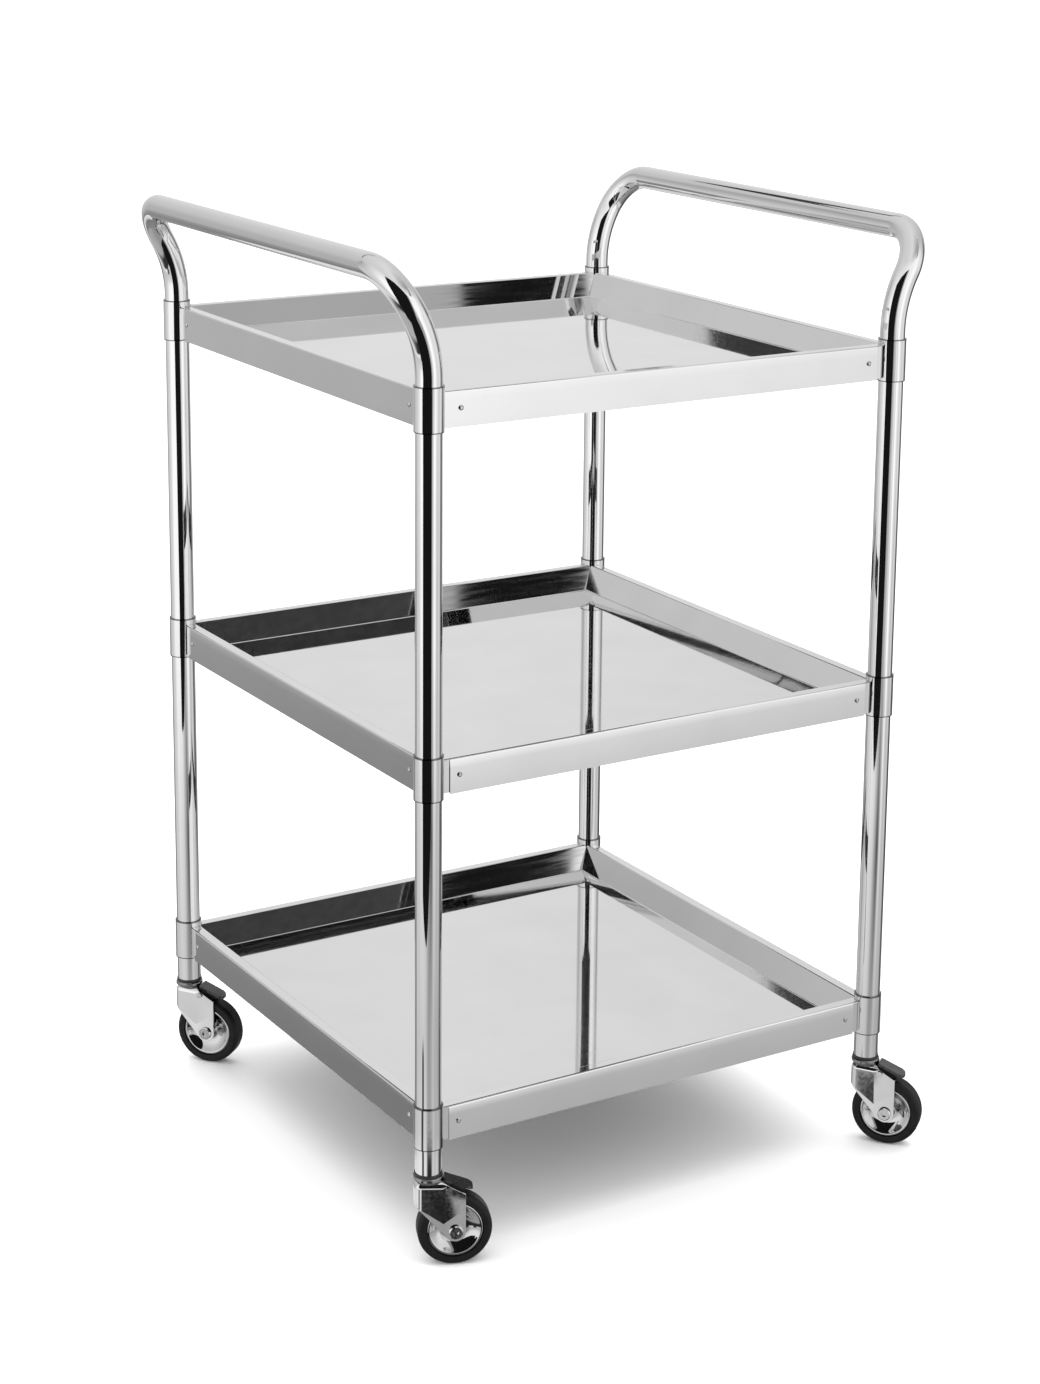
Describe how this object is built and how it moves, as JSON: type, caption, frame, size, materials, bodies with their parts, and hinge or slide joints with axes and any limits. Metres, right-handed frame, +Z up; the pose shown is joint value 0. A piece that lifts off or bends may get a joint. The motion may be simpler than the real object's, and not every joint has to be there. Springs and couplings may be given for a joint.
{
  "type": "three-tier serving trolley",
  "caption": "Square serving trolley with stacked sunk trays, chromed tube posts, two raised push handles and braked swivel casters.",
  "frame": {"origin": "on the floor, at the centre of the plan between the four posts", "axes": "+Z up, +X towards the right push handle, +Y towards the rear long side"},
  "size_m": [0.611, 0.636, 0.955],
  "materials": {
    "chromed_tube": "bright chromed tube",
    "mirror_sheet": "mirror polished pressed sheet",
    "chromed_fittings": "bright chromed clamps",
    "rivets": "plain domed rivets",
    "plain_steel": "turned steel, hidden",
    "dark_plug": "black moulded plug and flange",
    "caster_bearing": "dark bright chrome",
    "caster_fork": "bright chromed pressing",
    "bright_steel": "zinc bright fasteners",
    "wheel_hub": "bright chromed dish",
    "tyre": "black rubber, slightly glossy",
    "brake_pedal": "smooth dark pedal"
  },
  "bodies": {
    "frame": {"post_front_left": "chromed_tube", "post_rear_left": "chromed_tube", "post_front_right": "chromed_tube", "post_rear_right": "chromed_tube", "handle_left": "chromed_tube", "handle_right": "chromed_tube", "handle_joining_plugs": "plain_steel", "tray_bottom": "mirror_sheet", "clamp_bottom_front_left": "chromed_fittings", "clamp_bottom_rear_left": "chromed_fittings", "clamp_bottom_front_right": "chromed_fittings", "clamp_bottom_rear_right": "chromed_fittings", "tray_middle": "mirror_sheet", "clamp_middle_front_left": "chromed_fittings", "clamp_middle_rear_left": "chromed_fittings", "clamp_middle_front_right": "chromed_fittings", "clamp_middle_rear_right": "chromed_fittings", "tray_top": "mirror_sheet", "clamp_top_front_left": "chromed_fittings", "clamp_top_rear_left": "chromed_fittings", "clamp_top_front_right": "chromed_fittings", "clamp_top_rear_right": "chromed_fittings", "tray_rivets": "rivets", "caster_stem_front_left": "dark_plug", "caster_stem_rear_left": "dark_plug", "caster_stem_front_right": "dark_plug", "caster_stem_rear_right": "dark_plug"},
    "caster_front_left": {"swivel_bearing_front_left": "caster_bearing", "fork_front_left": "caster_fork", "axle_bolt_front_left": "bright_steel", "axle_nut_front_left": "bright_steel", "brake_pin_front_left": "bright_steel"},
    "wheel_front_left": {"wheel_hub_front_left": "wheel_hub", "tyre_front_left": "tyre"},
    "brake_front_left": {"brake_pedal_front_left": "brake_pedal"},
    "caster_rear_left": {"swivel_bearing_rear_left": "caster_bearing", "fork_rear_left": "caster_fork", "axle_bolt_rear_left": "bright_steel", "axle_nut_rear_left": "bright_steel", "brake_pin_rear_left": "bright_steel"},
    "wheel_rear_left": {"wheel_hub_rear_left": "wheel_hub", "tyre_rear_left": "tyre"},
    "brake_rear_left": {"brake_pedal_rear_left": "brake_pedal"},
    "caster_front_right": {"swivel_bearing_front_right": "caster_bearing", "fork_front_right": "caster_fork", "axle_bolt_front_right": "bright_steel", "axle_nut_front_right": "bright_steel", "brake_pin_front_right": "bright_steel"},
    "wheel_front_right": {"wheel_hub_front_right": "wheel_hub", "tyre_front_right": "tyre"},
    "brake_front_right": {"brake_pedal_front_right": "brake_pedal"},
    "caster_rear_right": {"swivel_bearing_rear_right": "caster_bearing", "fork_rear_right": "caster_fork", "axle_bolt_rear_right": "bright_steel", "axle_nut_rear_right": "bright_steel", "brake_pin_rear_right": "bright_steel"},
    "wheel_rear_right": {"wheel_hub_rear_right": "wheel_hub", "tyre_rear_right": "tyre"},
    "brake_rear_right": {"brake_pedal_rear_right": "brake_pedal"}
  },
  "joints": [
    {"name": "swivel_front_left", "type": "hinge", "parent": "frame", "child": "caster_front_left", "pos_m": [-0.2575, -0.2675, 0.088], "axis": [0, 0, 1], "continuous": true},
    {"name": "wheel_spin_front_left", "type": "hinge", "parent": "caster_front_left", "child": "wheel_front_left", "pos_m": [-0.23478, -0.27668, 0.0355], "axis": [0.3746, 0.9272, 0], "continuous": true},
    {"name": "brake_press_front_left", "type": "hinge", "parent": "caster_front_left", "child": "brake_front_left", "pos_m": [-0.24081, -0.27424, 0.0783], "axis": [0.3746, 0.9272, 0], "range_deg": [0, 8.5]},
    {"name": "swivel_rear_left", "type": "hinge", "parent": "frame", "child": "caster_rear_left", "pos_m": [-0.2575, 0.2675, 0.088], "axis": [0, 0, 1], "continuous": true},
    {"name": "wheel_spin_rear_left", "type": "hinge", "parent": "caster_rear_left", "child": "wheel_rear_left", "pos_m": [-0.24175, 0.24873, 0.0355], "axis": [0.766, 0.6428, 0], "continuous": true},
    {"name": "brake_press_rear_left", "type": "hinge", "parent": "caster_rear_left", "child": "brake_rear_left", "pos_m": [-0.24593, 0.25371, 0.0783], "axis": [0.766, 0.6428, 0], "range_deg": [0, 8.5]},
    {"name": "swivel_front_right", "type": "hinge", "parent": "frame", "child": "caster_front_right", "pos_m": [0.2575, -0.2675, 0.088], "axis": [0, 0, 1], "continuous": true},
    {"name": "wheel_spin_front_right", "type": "hinge", "parent": "caster_front_right", "child": "wheel_front_right", "pos_m": [0.27325, -0.28627, 0.0355], "axis": [0.766, 0.6428, 0], "continuous": true},
    {"name": "brake_press_front_right", "type": "hinge", "parent": "caster_front_right", "child": "brake_front_right", "pos_m": [0.26907, -0.28129, 0.0783], "axis": [0.766, 0.6428, 0], "range_deg": [0, 8.5]},
    {"name": "swivel_rear_right", "type": "hinge", "parent": "frame", "child": "caster_rear_right", "pos_m": [0.2575, 0.2675, 0.088], "axis": [0, 0, 1], "continuous": true},
    {"name": "wheel_spin_rear_right", "type": "hinge", "parent": "caster_rear_right", "child": "wheel_rear_right", "pos_m": [0.27325, 0.28627, 0.0355], "axis": [-0.766, 0.6428, 0], "continuous": true},
    {"name": "brake_press_rear_right", "type": "hinge", "parent": "caster_rear_right", "child": "brake_rear_right", "pos_m": [0.26907, 0.28129, 0.0783], "axis": [-0.766, 0.6428, 0], "range_deg": [0, 8.5]}
  ]
}
